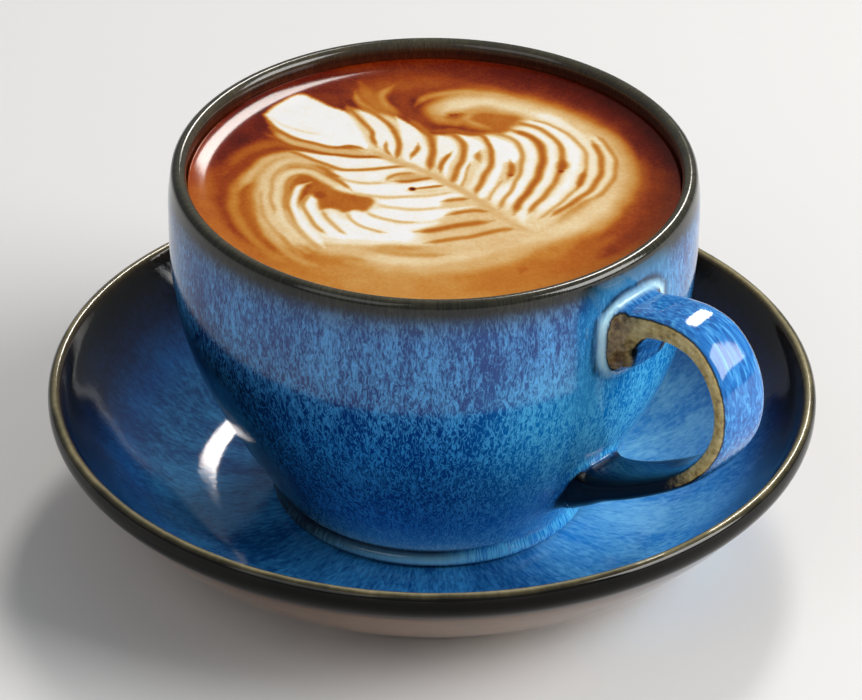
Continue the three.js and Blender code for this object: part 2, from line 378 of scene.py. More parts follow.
cupSet = {
    "stepsRound": 360,
    "bottom": [(0, 8.4), (12, 8.4), (24, 8.4), (25.1, 8), (26.2, 6.1), (28.3, 6), (30.5, 6.05)],
    "foot": [(30.5, 6.05), (31.1, 6.6), (31.15, 7.7), (30.55, 8.6), (30.45, 9.1), (30.8, 9.7), (31.5, 10.6),
             (33.2, 13.4)],
    "outer": [(33.2, 13.4), (36.6, 19), (41, 26.6), (45.6, 36), (48.2, 43), (49.8, 50), (50.9, 60), (51.1, 67),
              (51.1, 72), (50.8, 75.2)],
    "lip": (49.1, 76.6, 1.5),
    "inner": [(47.6, 75.2), (47.6, 73), (47.6, 70)],
    "bowl": [(47.6, 70), (47.3, 62), (46.2, 52), (44.2, 44), (41.2, 36), (36.2, 26), (31, 18.4), (25, 14.5),
             (18, 13.1), (9, 13), (0, 13)],
    # strap: distance from the axis, height, half thickness, half width
    "strap": [(46, 64, 8.6, 7.6), (50.6, 64.2, 8.1, 7.3), (52.4, 64.6, 7.2, 6.8), (54.2, 65.9, 5.3, 6.4),
              (55.9, 67.4, 3.6, 6.2), (58.2, 68.6, 2.9, 6.2), (61.6, 69.4, 2.65, 6.2), (65.6, 69.7, 2.6, 6.2),
              (70.2, 68.7, 2.5, 6.2), (73.9, 65.6, 2.3, 6.2), (76.4, 61, 2.15, 6.2), (77.2, 56.2, 2, 6.2),
              (76.5, 51, 2, 6.1), (74.1, 46, 2, 6), (70.3, 41.3, 2, 5.9), (65, 36.9, 2.1, 5.8),
              (58.8, 32.9, 2.3, 5.7), (52.8, 29.6, 2.6, 5.6), (47.2, 27.2, 3.2, 5.7), (43, 25.7, 4.4, 6),
              (38.5, 24.2, 5.5, 6.2)],
    "strapStep": 0.8,
    "sectionPoints": 64,
    "sectionPower": 3.2,
    "fillet": 3.0,
    "filletRounds": 8,  # of which the first few also even out the faces
    "evenRounds": 6,
    "stretch": 0.3,  # fibres up the wall: the less, the longer
    "litWallTurn": -4,  # degrees from the handle where the painted light on the lower wall is centred, and where the painted shade turns its back
    "shadedWallTurn": -8,
    "dripTurn": -12,  # a run of pale glaze below the upper root
    "dripHeight": 52,
    "poolAndHighlight": (1.3, 0.75),  # distance from the strap and width of the pale pool, which is partly a painted highlight, and of the dark ring round it
    "ring": (2.9, 0.55),
    # colour of the glaze along the profile from under the foot, over the lip and down inside,
    # and of the paler fibres in it; the lip's lighter top is partly a painted reflection of the bright surroundings,
    # and the maroon of the inner wall above the drink is a painted reflection of the crema
    "zones": [((0, 8.4), "#8f7d6d"), ((28.3, 6), "#a8927f"), ((30.9, 6.3), "#10202f"), ((31.1, 7.4), "#70b4d4"),
              ((30.5, 8.9), "#02060c"), ((30.7, 9.6), "#04101c"), ((31.5, 10.6), "#7cc8e8"),
              ((33.2, 13.4), "#3f9ed8"), ((36.6, 19), "#1464b2"), ((41, 26.6), "#0a4a98"), ((48.2, 43), "#073c88"),
              ((50.6, 57), "#083a80"), ((51.1, 70), "#0c3c80"), ((51, 73.4), "#17355f"), ((50.8, 75.2), "#16191c"),
              ((50.6, 76.6), "#0d0d0a"), ((49.9, 77.8), "#24231b"), ((49.1, 78.1), "#403f34"),
              ((48.2, 77.8), "#37342a"), ((47.6, 76), "#2a150c"), ((47.6, 74.4), "#4a1a0a"),
              ((47.6, 60), "#240b04"), ((0, 13), "#240b04")],
    "streaks": [((0, 8.4), "#a8927f"), ((30.9, 6.3), "#16283a"), ((31.1, 7.4), "#7cbedc"), ((30.5, 8.9), "#040a12"),
                ((30.7, 9.6), "#0a2034"), ((31.5, 10.6), "#b8e8f6"), ((33.2, 13.4), "#78c6ec"),
                ((36.6, 19), "#44aae8"), ((41, 26.6), "#3aa2e6"), ((48.2, 43), "#3298e2"), ((50.6, 57), "#4ca2e2"),
                ((51.1, 70), "#4f9cdc"), ((51, 73.4), "#4f7fae"), ((50.8, 75.2), "#2b3033"),
                ((50.6, 76.6), "#2a2a20"), ((49.9, 77.8), "#343124"), ((49.1, 78.1), "#565242"),
                ((48.2, 77.8), "#4a4432"), ((47.6, 76), "#3c2012"), ((47.6, 74.4), "#5a2410"),
                ((0, 13), "#240b04")],
}


def cupProfile(s):
    lip = arcRows(*s["lip"], 0, 180, 11)
    # finer steps where the form is small, and no point twice where two parts meet
    return np.vstack([smoothRows(s["bottom"], 3), smoothRows(s["foot"], 0.45)[1:],
                      smoothRows(s["outer"] + lip + s["inner"], 0.6)[1:], smoothRows(s["bowl"], 4)[1:]])


def strapMesh(s):
    rows = smoothRows(s["strap"], s["strapStep"])
    along = np.gradient(rows[:, :2], axis=0)
    # the upper root springs straight out of the wall
    upright = (1 - smoothStep(52, 58, rows[:, 0])) * (rows[:, 1] > 50)
    along += upright[:, None] * (np.linalg.norm(along, axis=1)[:, None] * (1, 0) - along)
    along /= np.linalg.norm(along, axis=1)[:, None]
    up = np.stack([-along[:, 1], np.zeros(len(rows)), along[:, 0]], 1)
    # each end is closed by a row of no size
    rows = np.vstack([rows[:1] * (1, 1, 0, 0), rows, rows[-1:] * (1, 1, 0, 0)])
    up = np.vstack([up[:1], up, up[-1:]])
    mesh = bpy.data.meshes.new("strapRows")
    places = [((axisX + r) * mm, 0, z * mm) for r, z in rows[:, :2]]
    mesh.from_pydata(places, [(i, i + 1) for i in range(len(rows) - 1)], [])
    mesh.attributes.new("up", "FLOAT_VECTOR", "POINT").data.foreach_set("vector", up.ravel())
    storeFloat(mesh, "thick", rows[:, 2] * mm)
    storeFloat(mesh, "wide", rows[:, 3] * mm)
    return mesh, rows[1:-1], along


cupRows = cupProfile(cupSet)
cupRun = runAlong(cupRows)
bodyMesh = grow("cupBody", rowMesh("cupProfile", cupRows), turned,
                {"Steps round": cupSet["stepsRound"], "Axis": (axisX * mm, 0, 0)})
strapRowMesh, strapRows, strapAlong = strapMesh(cupSet)
strapSolid = grow("strap", strapRowMesh, swept,
                  {"Section points": cupSet["sectionPoints"], "Squareness": 2 / cupSet["sectionPower"]})
# the strap's ends stop in the middle of the wall
coreRows = [(0, 18.4)] + [(r + 1.8, z) for r, z in cupSet["bowl"][6::-1]] + [(49.4, 75.2), (0, 75.2)]
coreMesh = grow("wallCore", rowMesh("coreProfile", coreRows), turned, {"Steps round": 90, "Axis": (axisX * mm, 0, 0)})


def joined(name, first, second, operation):
    a = addPiece(name + "A", first, None)
    b = addPiece(name + "B", second, None)
    modifier = a.modifiers.new("join", "BOOLEAN")
    modifier.operation = operation
    modifier.solver = "EXACT"
    modifier.object = b
    graph = bpy.context.evaluated_depsgraph_get()
    made = bpy.data.meshes.new_from_object(a.evaluated_get(graph))
    made.name = name
    bpy.data.objects.remove(a)
    bpy.data.objects.remove(b)
    return made


def wallDistance(p, rows, run):
    # signed distance to the turned wall, and how far along its profile the nearest place is, in millimetres
    r, z = np.hypot(p[:, 0], p[:, 1]), p[:, 2]
    best, side, way = np.full(len(p), 1e9), np.ones(len(p)), np.zeros(len(p))
    for (ar, az), (br, bz), start in zip(rows[:-1], rows[1:], run):
        er, ez = br - ar, bz - az
        t = np.clip(((r - ar) * er + (z - az) * ez) / (er * er + ez * ez), 0, 1)
        dr, dz = r - ar - t * er, z - az - t * ez
        gap = np.hypot(dr, dz)
        near = gap < best
        best = np.where(near, gap, best)
        side = np.where(near, np.where(dr * ez - dz * er >= 0, 1.0, -1.0), side)
        way = np.where(near, start + t * math.hypot(er, ez), way)
    return best * side, way


def strapDistance(p, rows, along, power):
    # about how far outside the strap's rounded section
    near = ((p[:, None, 0] - rows[None, :, 0]) ** 2 + (p[:, None, 2] - rows[None, :, 1]) ** 2).argmin(1)
    centre, way = rows[near], along[near]
    a = ((p[:, 2] - centre[:, 1]) * way[:, 0] - (p[:, 0] - centre[:, 0]) * way[:, 1]) / centre[:, 2]
    b = p[:, 1] / centre[:, 3]
    size = (np.abs(a) ** power + np.abs(b) ** power) ** (1 / power)
    slope = np.hypot(np.abs(a) ** (power - 1) / centre[:, 2], np.abs(b) ** (power - 1) / centre[:, 3])
    slope = slope / np.maximum(size, 1e-6) ** (power - 1)
    return (size - 1) / np.maximum(slope, 0.05)


def blendedDistance(p, s, wallRows):
    wall = wallDistance(p, wallRows, np.zeros(len(wallRows)))[0]
    strap = strapDistance(p, strapRows, strapAlong, s["sectionPower"])
    mix = np.maximum(s["fillet"] - np.abs(wall - strap), 0) / s["fillet"]
    return np.minimum(wall, strap) - mix * mix * s["fillet"] / 4


def filletRoots(mesh, s):
    # draws the corner between strap and wall out to a soft, pooled fillet
    p = meshCoords(mesh) / mm - (axisX, 0, 0)
    wallRows = smoothRows(s["outer"], 2)
    zone = np.flatnonzero((p[:, 0] > 34) & (np.abs(p[:, 1]) < 15) & (p[:, 2] > 16) & (p[:, 2] < 75))
    wall = wallDistance(p[zone], wallRows, np.zeros(len(wallRows)))[0]
    strap = strapDistance(p[zone], strapRows, strapAlong, s["sectionPower"])
    zone = zone[(np.abs(wall) < s["fillet"] * 1.3) & (np.abs(strap) < s["fillet"] * 1.3)]
    edges = np.empty(len(mesh.edges) * 2, int)
    mesh.edges.foreach_get("vertices", edges)
    edges = edges.reshape(-1, 2)
    chosen = np.zeros(len(p), bool)
    chosen[zone] = True
    edges = edges[chosen[edges[:, 0]] | chosen[edges[:, 1]]]
    for turn in range(s["filletRounds"]):
        total, count = np.zeros_like(p), np.zeros(len(p))
        for a, b in ((0, 1), (1, 0)):
            np.add.at(total, edges[:, a], p[edges[:, b]])
            np.add.at(count, edges[:, a], 1)
        # towards the neighbours' middle, then back onto the blended surface
        if turn < s["evenRounds"]:
            p[zone] += 0.5 * (total[zone] / count[zone, None] - p[zone])
        for again in range(2):
            here = blendedDistance(p[zone], s, wallRows)
            slope = np.stack([blendedDistance(p[zone] + 0.02 * d, s, wallRows) - here for d in np.eye(3)], 1) / 0.02
            step = here[:, None] * slope / np.maximum((slope ** 2).sum(1), 0.2)[:, None]
            p[zone] -= np.clip(step, -0.8, 0.8)
    mesh.vertices.foreach_set("co", ((p + (axisX, 0, 0)) * mm).ravel())
    mesh.update()


def bell(value, centre, width):
    return np.exp(-((value - centre) / width) ** 2)


def cupFields(mesh, s):
    # says at every point where on the cup it is, for the glaze to follow
    p = meshCoords(mesh) / mm - (axisX, 0, 0)
    wall, way = wallDistance(p, cupRows, cupRun)
    nearStrap = (p[:, 0] > 30) & (np.abs(p[:, 1]) < 26) & (p[:, 2] > 14) & (p[:, 2] < 76)
    strap = np.full(len(p), 30.0)
    strap[nearStrap] = strapDistance(p[nearStrap], strapRows, strapAlong, s["sectionPower"])
    onStrap = smoothStep(0.3, 1.4, wall) * nearStrap
    facing = np.empty(len(p) * 3)
    mesh.vertex_normals.foreach_get("vector", facing)
    root = (1 - smoothStep(53, 58, p[:, 0])) * (p[:, 2] > 50)
    side = smoothStep(0.3, 0.95, np.abs(facing[1::3]))
    rootSide = root * smoothStep(2.5, 5, np.abs(p[:, 1])) * (1 - smoothStep(0.3, 0.7, facing[2::3]))
    side = onStrap * np.maximum(side, rootSide)
    outside = (np.hypot(p[:, 0], p[:, 1]) > 48) & (p[:, 2] < 76)
    upper = smoothStep(54, 58, p[:, 2]) * outside
    angle = np.degrees(np.arctan2(p[:, 1], p[:, 0]))
    drip = bell(angle, s["dripTurn"], 5) * bell(p[:, 2], s["dripHeight"], 6) * outside
    storeFloat(mesh, "run", way)
    storeFloat(mesh, "onStrap", onStrap)
    storeFloat(mesh, "side", side)
    # tan fades out along the lower part of the strap and goes brown at the root, partly as painted shade under the
    # strap's upper attachment
    fade = smoothStep(44, 90, p[:, 0] + 0.8 * np.maximum(p[:, 2] - 40, 0))
    storeFloat(mesh, "bare", side * np.maximum(fade, root))
    storeFloat(mesh, "root", root)
    # painted light and shade: the lower wall is painted light towards the handle and dark away from it
    lower = 1 - smoothStep(46, 66, p[:, 2])
    storeFloat(mesh, "paintedLight", lower * (1 - smoothStep(12, 44, np.abs(angle - s["litWallTurn"]))))
    storeFloat(mesh, "paintedShade", lower * smoothStep(48, 98, np.abs(angle - s["shadedWallTurn"])))
    storeFloat(mesh, "low", onStrap * (1 - smoothStep(38, 48, p[:, 2])))
    # a pale glaze pool round the upper root, partly a painted highlight
    storeFloat(mesh, "poolAndHighlight", upper * bell(strap, *s["poolAndHighlight"]) * (1 - 0.7 * onStrap))
    storeFloat(mesh, "ring", upper * bell(strap, *s["ring"]) * (1 - onStrap))
    storeFloat(mesh, "drip", np.clip(0.6 * drip + 0.35 * upper * bell(strap, 4.5, 3), 0, 1))


def cupGlazeMaterial(s):
    # Reactive blue glaze: fine upright fibres of pale blue in navy, painted light on the lower wall towards the handle
    # and painted shade away from it, charcoal under the rim, olive-black lip whose top is partly a painted reflection,
    # a painted reflection of the crema on the inner wall, cyan pools at the foot and round the strap's upper root, the
    # latter partly a painted highlight, and tan clay showing along the strap's sides between dark lines, going brown at
    # the root partly as painted shade
    material, tree = newMaterial("cupGlaze")
    place, streak = glazeBase(tree, s["stretch"])
    fine = addNode(tree, "ShaderNodeTexNoise", {"Vector": streak, "Scale": 1.7, "Detail": 3.0, "Roughness": 0.55,
                                                "Distortion": 0.9}).outputs["Fac"]
    worm = addNode(tree, "ShaderNodeTexNoise", {"Vector": streak, "Scale": 1.15, "Detail": 1.0,
                                                "Distortion": 1.1}).outputs["Fac"]
    worm = addNode(tree, "ShaderNodeMath", {0: worm, 1: 0.5}, operation="SUBTRACT").outputs[0]
    worm = addNode(tree, "ShaderNodeMath", {0: worm}, operation="ABSOLUTE").outputs[0]
    veins = addNode(tree, "ShaderNodeMapRange", {"Value": worm, "From Min": 0.0, "From Max": 0.11,
                                                 "To Min": 0.8, "To Max": 0.3},
                    interpolation_type="SMOOTHSTEP").outputs[0]
    high = addNode(tree, "ShaderNodeSeparateXYZ", {"Vector": place}).outputs["Z"]
    # winding pale fibres low on the wall, flecks higher up
    flecked = addNode(tree, "ShaderNodeMapRange", {"Value": high, "From Min": 30.0, "From Max": 66.0,
                                                   "To Min": 0.35, "To Max": 0.75}).outputs[0]
    fibre = addNode(tree, "ShaderNodeMix", {"Factor": flecked}, data_type="FLOAT")
    tree.links.new(veins, fibre.inputs[2])
    tree.links.new(fine, fibre.inputs[3])
    fibre = fibre.outputs[0]
    cloud = addNode(tree, "ShaderNodeTexNoise", {"Vector": streak, "Scale": 0.14, "Detail": 3.0}).outputs["Fac"]
    speck = addNode(tree, "ShaderNodeTexNoise", {"Vector": place, "Scale": 0.7, "Detail": 4.0,
                                                 "Roughness": 0.6}).outputs["Fac"]
    runs = addNode(tree, "ShaderNodeAttribute", attribute_name="run").outputs["Fac"]
    # the glaze's borders waver and break into streaks, hardly so on lip and foot
    loose = addNode(tree, "ShaderNodeMapRange", {"Value": high, "From Min": 72.5, "From Max": 75.5,
                                                 "To Min": 2.4, "To Max": 0.2}).outputs[0]
    drift = addNode(tree, "ShaderNodeMath", {0: cloud, 1: fine}, operation="ADD").outputs[0]
    drift = addNode(tree, "ShaderNodeMath", {0: drift, 1: 1.0}, operation="SUBTRACT").outputs[0]
    drift = addNode(tree, "ShaderNodeMath", {0: drift, 1: loose}, operation="MULTIPLY").outputs[0]
    steady = addNode(tree, "ShaderNodeMapRange", {"Value": high, "From Min": 12.0, "From Max": 20.0,
                                                  "To Min": 0.06, "To Max": 1.0}).outputs[0]
    drift = addNode(tree, "ShaderNodeMath", {0: drift, 1: steady}, operation="MULTIPLY").outputs[0]
    runs = addNode(tree, "ShaderNodeMath", {0: runs, 1: drift}, operation="ADD").outputs[0]
    share = addNode(tree, "ShaderNodeMath", {0: runs, 1: cupRun[-1]}, operation="DIVIDE").outputs[0]
    zones = addRamp(tree, share, rowStops(cupRows, cupRun, s["zones"]))
    light = addRamp(tree, share, rowStops(cupRows, cupRun, s["streaks"]))
    cloudy = addNode(tree, "ShaderNodeMath", {0: cloud, 1: 0.5}, operation="MULTIPLY").outputs[0]
    strong = addNode(tree, "ShaderNodeMath", {0: fibre, 1: cloudy}, operation="ADD").outputs[0]
    strong = addNode(tree, "ShaderNodeMapRange", {"Value": strong, "From Min": 0.66, "From Max": 0.92}).outputs[0]
    masks = {}
    for name in ("paintedLight", "paintedShade", "onStrap", "side", "bare", "root", "low", "poolAndHighlight", "ring", "drip"):
        masks[name] = addNode(tree, "ShaderNodeAttribute", attribute_name=name).outputs["Fac"]
    # painted shade also dims the pale fibres away from the handle
    dim = addNode(tree, "ShaderNodeMath", {0: masks["paintedShade"], 1: -0.85, 2: 1.0}, operation="MULTIPLY_ADD").outputs[0]
    strong = addNode(tree, "ShaderNodeMath", {0: strong, 1: dim}, operation="MULTIPLY").outputs[0]
    tan = addRamp(tree, speck, [(0.3, "#86724a"), (0.45, "#b29d64"), (0.6, "#c8b57e"), (0.75, "#d8c898")])
    # brown of the root, partly painted shade under the strap
    rootBrownAndShade = addRamp(tree, speck, [(0.35, "#4a3826"), (0.55, "#806844"), (0.7, "#a08a60")])
    strapBlue = addRamp(tree, fine, [(0.3, "#0f4c98"), (0.5, "#1f72c4"), (0.7, "#58aeea")])
    rough = addNode(tree, "ShaderNodeMapRange", {"Value": speck, "From Min": 0.3, "From Max": 0.7,
                                                 "To Min": -0.07, "To Max": 0.07}).outputs[0]
    darkShare = addNode(tree, "ShaderNodeMath", {0: masks["side"], 1: rough}, operation="ADD").outputs[0]
    darkShare = addRamp(tree, darkShare, [(0.1, 0.0), (0.42, 1.0), (1.0, 1.0)], "EASE")
    tanShare = addNode(tree, "ShaderNodeMath", {0: masks["bare"], 1: rough}, operation="ADD").outputs[0]
    tanShare = addRamp(tree, tanShare, [(0.4, 0.0), (0.75, 1.0), (1.0, 1.0)], "EASE")
    rootShadeShare = addNode(tree, "ShaderNodeMath", {0: masks["root"], 1: tanShare}, operation="MULTIPLY").outputs[0]
    # painted light brightens the fibres towards the handle
    litFibres = addNode(tree, "ShaderNodeMath", {0: masks["paintedLight"], 1: strong}, operation="MULTIPLY").outputs[0]
    layers = [(masks["paintedLight"], "#0c80d2"), (masks["paintedShade"], "#010815"), (strong, light), (litFibres, "#5cc6f6"),
              (masks["onStrap"], strapBlue), (masks["low"], "#04102a"), (masks["drip"], "#3fa4dc"),
              (masks["ring"], "#0a1630"), (masks["poolAndHighlight"], "#b9e6f6"), (darkShare, "#0f0e0d"), (tanShare, tan),
              (rootShadeShare, rootBrownAndShade)]
    glazeShader(tree, layered(tree, zones, layers), fibre)
    return material


strapTrimmed = joined("strapTrimmed", strapSolid, coreMesh, "DIFFERENCE")
cupMesh = joined("cup", bodyMesh, strapTrimmed, "UNION")
for layer in [layer.name for layer in cupMesh.attributes if layer.name in ("run", "up", "thick", "wide")]:
    cupMesh.attributes.remove(cupMesh.attributes[layer])
filletRoots(cupMesh, cupSet)
cupFields(cupMesh, cupSet)
cup = addPiece("cup", cupMesh, cupGlazeMaterial(cupSet))
print("cup joined:", len(cupMesh.polygons), "faces")


latteSet = {
    "grid": 290,
    "radius": 47.35,
    "top": 73.5,
    "rise": 1.1,  # how far the edge climbs the wall, from where, and how suddenly
    "riseFrom": 40,
    "riseWidth": 7.4,
    "risePower": 2.6,
    "side": [(47.35, 70.2), (47.05, 62.25), (45.95, 52.25), (43.95, 44.25), (40.95, 36.25), (35.95, 26.25),
             (30.75, 18.65), (24.75, 14.75), (17.75, 13.35)],
}

# The pour, in millimetres on the drink as the photo shows it: first number to the right, second away from
# the viewer. Every stroke says how milky it is (0 dark crema, 0.4 brown, 0.6 tan, 0.8 cream, 1 white milk),
# its width, and its path.
cremaFlows = [
    # the darkest strokes along the far and right edges are painted shadow of the rim on the crema
    (0.14, 9, [(-26, 36), (-14, 41), (0, 42.5), (14, 40)]),
    (0.27, 7, [(-19, 33), (-10, 37.5), (0, 38.5), (10, 37)]),
    (0.17, 4.5, [(-26, 34), (-21, 33), (-17.5, 31), (-15.5, 29.5)]),
    (0.42, 3.4, [(-15, 39.5), (-13.4, 35), (-12.4, 32), (-9.5, 28.2), (-6.5, 25)]),
    (0.53, 1.4, [(-15.8, 36), (-15.2, 32.6), (-13.2, 29.6), (-10.6, 26.8)]),
    (0.55, 1.7, [(-8.2, 38.5), (-10.4, 34.8), (-9.8, 31.4), (-7.8, 28.4), (-5.6, 25.8)]),
    (0.2, 3.6, [(-2, 37.4), (-6.4, 34), (-6, 29.5), (-3.6, 25), (-1.2, 21.9), (1, 20.8)]),
    (0.2, 3, [(-4, 34), (2, 37.3), (9, 37.8), (16, 35.6)]),
    (0.5, 1.8, [(-3.8, 30.5), (-1.8, 34), (3, 35.8), (10, 35.6), (17, 33)]),
    (0.08, 7, [(14, 39.5), (24, 35), (33, 27.5), (39, 18)]),
    (0.36, 2.6, [(30, 24.6), (34.4, 19), (37.4, 12.6), (38.8, 5), (38, -2), (35.8, -8.4), (32.4, -14),
                 (28, -19.4)]),
    (0.22, 2.8, [(40.6, 12), (40.6, 2), (38.8, -6), (35.8, -13), (31.6, -19)]),
    (0.46, 2.4, [(36, -6), (33, -12), (29.4, -17)]),
    (0.17, 3.4, [(43.6, 10), (43, -2), (40.4, -12), (36, -20), (30, -27)]),
    (0.05, 5.5, [(-32.5, 24), (-36.4, 19), (-39.6, 13.6), (-42.6, 7)]),
    (0.32, 3.6, [(-24.6, 13.4), (-28, 14.6), (-32, 15), (-35.2, 13), (-37.8, 9), (-40, 4)]),
    (0.21, 2, [(-24.6, 12.5), (-30, 13.3), (-34.6, 10.8), (-37.8, 6), (-40, 0.5), (-40.6, -6), (-39.6, -12),
               (-37.3, -18), (-33.8, -23.4)]),
    (0.48, 2, [(-36.8, 4), (-38.2, -3), (-37.9, -10), (-36.4, -15.6), (-34, -20.6), (-30.8, -25.4), (-27, -29.6)]),
    (0.29, 2.1, [(-33.2, 4.6), (-35, 0.6), (-35.5, -5), (-35.2, -11), (-33.8, -16.4), (-31.6, -21.2),
                 (-28.6, -25.6)]),
    (0.33, 3, [(-43.4, 4), (-43.9, -6), (-42, -13)]),
    (0.35, 4, [(-40, -18), (-35, -25), (-29, -30)]),
    (0.58, 1.7, [(-33.4, -11), (-31.6, -18), (-29, -23), (-25.6, -27.4), (-21, -30.4)]),
    (0.55, 11, [(-22, -31), (-12, -33.4), (2, -34.5)]),
    (0.41, 6, [(6, -38.4), (14, -34), (22, -30)]),
    (0.33, 4, [(22, -31.4), (27, -28.6), (32, -24)]),
    (0.46, 5, [(17, -27), (22.4, -24), (26.8, -19.6)]),
    (0.32, 2.2, [(17.2, -28.6), (16.8, -30.4), (16.4, -32)]),
    (0.37, 2, [(22, -21.6), (22.8, -23), (23.4, -24.2)]),
]

# Milk mixed in, melting into the crema at its edges
creamBands = [
    (0.6, 9.4, [(4, 25), (1.6, 26.6), (2, 29.6), (6, 31.6), (11, 31.4), (16.6, 29.6), (22, 26.4), (27, 22),
                (30.6, 17), (33.4, 11), (34.4, 5)]),
    (0.76, 6.6, [(4, 23.8), (1, 25.6), (0.8, 29), (4.6, 31.4), (10, 31.6), (16, 30), (22, 26.8), (27, 22.6),
                 (31, 17.6), (34, 12), (35.2, 6), (34.6, 0), (32.4, -6), (28.4, -12), (23, -16.8), (16, -20.6),
                 (8, -24), (0, -26.6), (-8, -26.6), (-16, -24.4)]),
    (0.83, 3.4, [(1.6, 27.6), (3.4, 30.4), (7.4, 31.7), (12, 31.2), (17, 29.2), (22, 26.2), (26.6, 22.2)]),
    (0.79, 4.4, [(34.6, -0.6), (32, -6.4), (28, -12), (23.4, -16.4), (17, -19.6)]),
    (0.66, 4.6, [(-16, -28), (-4, -30), (7, -29), (15, -25), (20.6, -20.8)]),
    (0.79, 3, [(-15, -25.4), (-9.6, -27.2), (-3.6, -27.8), (2.4, -27), (8, -24.8), (13, -22)]),
    (0.72, 6, [(-6, -21.4), (3, -22), (12, -19.4), (19, -16.4)]),
    (0.7, 2.3, [(-24, 10.4), (-27.5, 11.5), (-30.5, 10.8), (-33, 8.4), (-34.6, 5.2), (-36, 2), (-37.3, -2)]),
    (0.8, 4, [(-19.6, 5), (-22.5, 7.8), (-25.4, 9), (-28, 8.8), (-30.4, 6.8), (-31.8, 4), (-32.6, 0), (-32.5, -5),
              (-31.6, -11), (-29.8, -16.5), (-27, -21.4), (-23.8, -25)]),
    (0.84, 2.6, [(-15.6, -2.8), (-18, -1), (-20, 0.9), (-22, 2.9), (-24.2, 4.7), (-26.6, 5), (-28.6, 3.6),
                 (-29.6, 1), (-30, -3), (-29.7, -8), (-28.8, -12.4), (-27.2, -16.6), (-25, -20.6), (-22.6, -24)]),
    (0.76, 6, [(-25, -19), (-21, -22.4), (-15, -23.4), (-8, -22.6)]),
    (0.72, 2.6, [(-32, 21.8), (-28.8, 17), (-25, 14.8), (-20, 13), (-14, 12.3), (-9.4, 11.4)]),
]

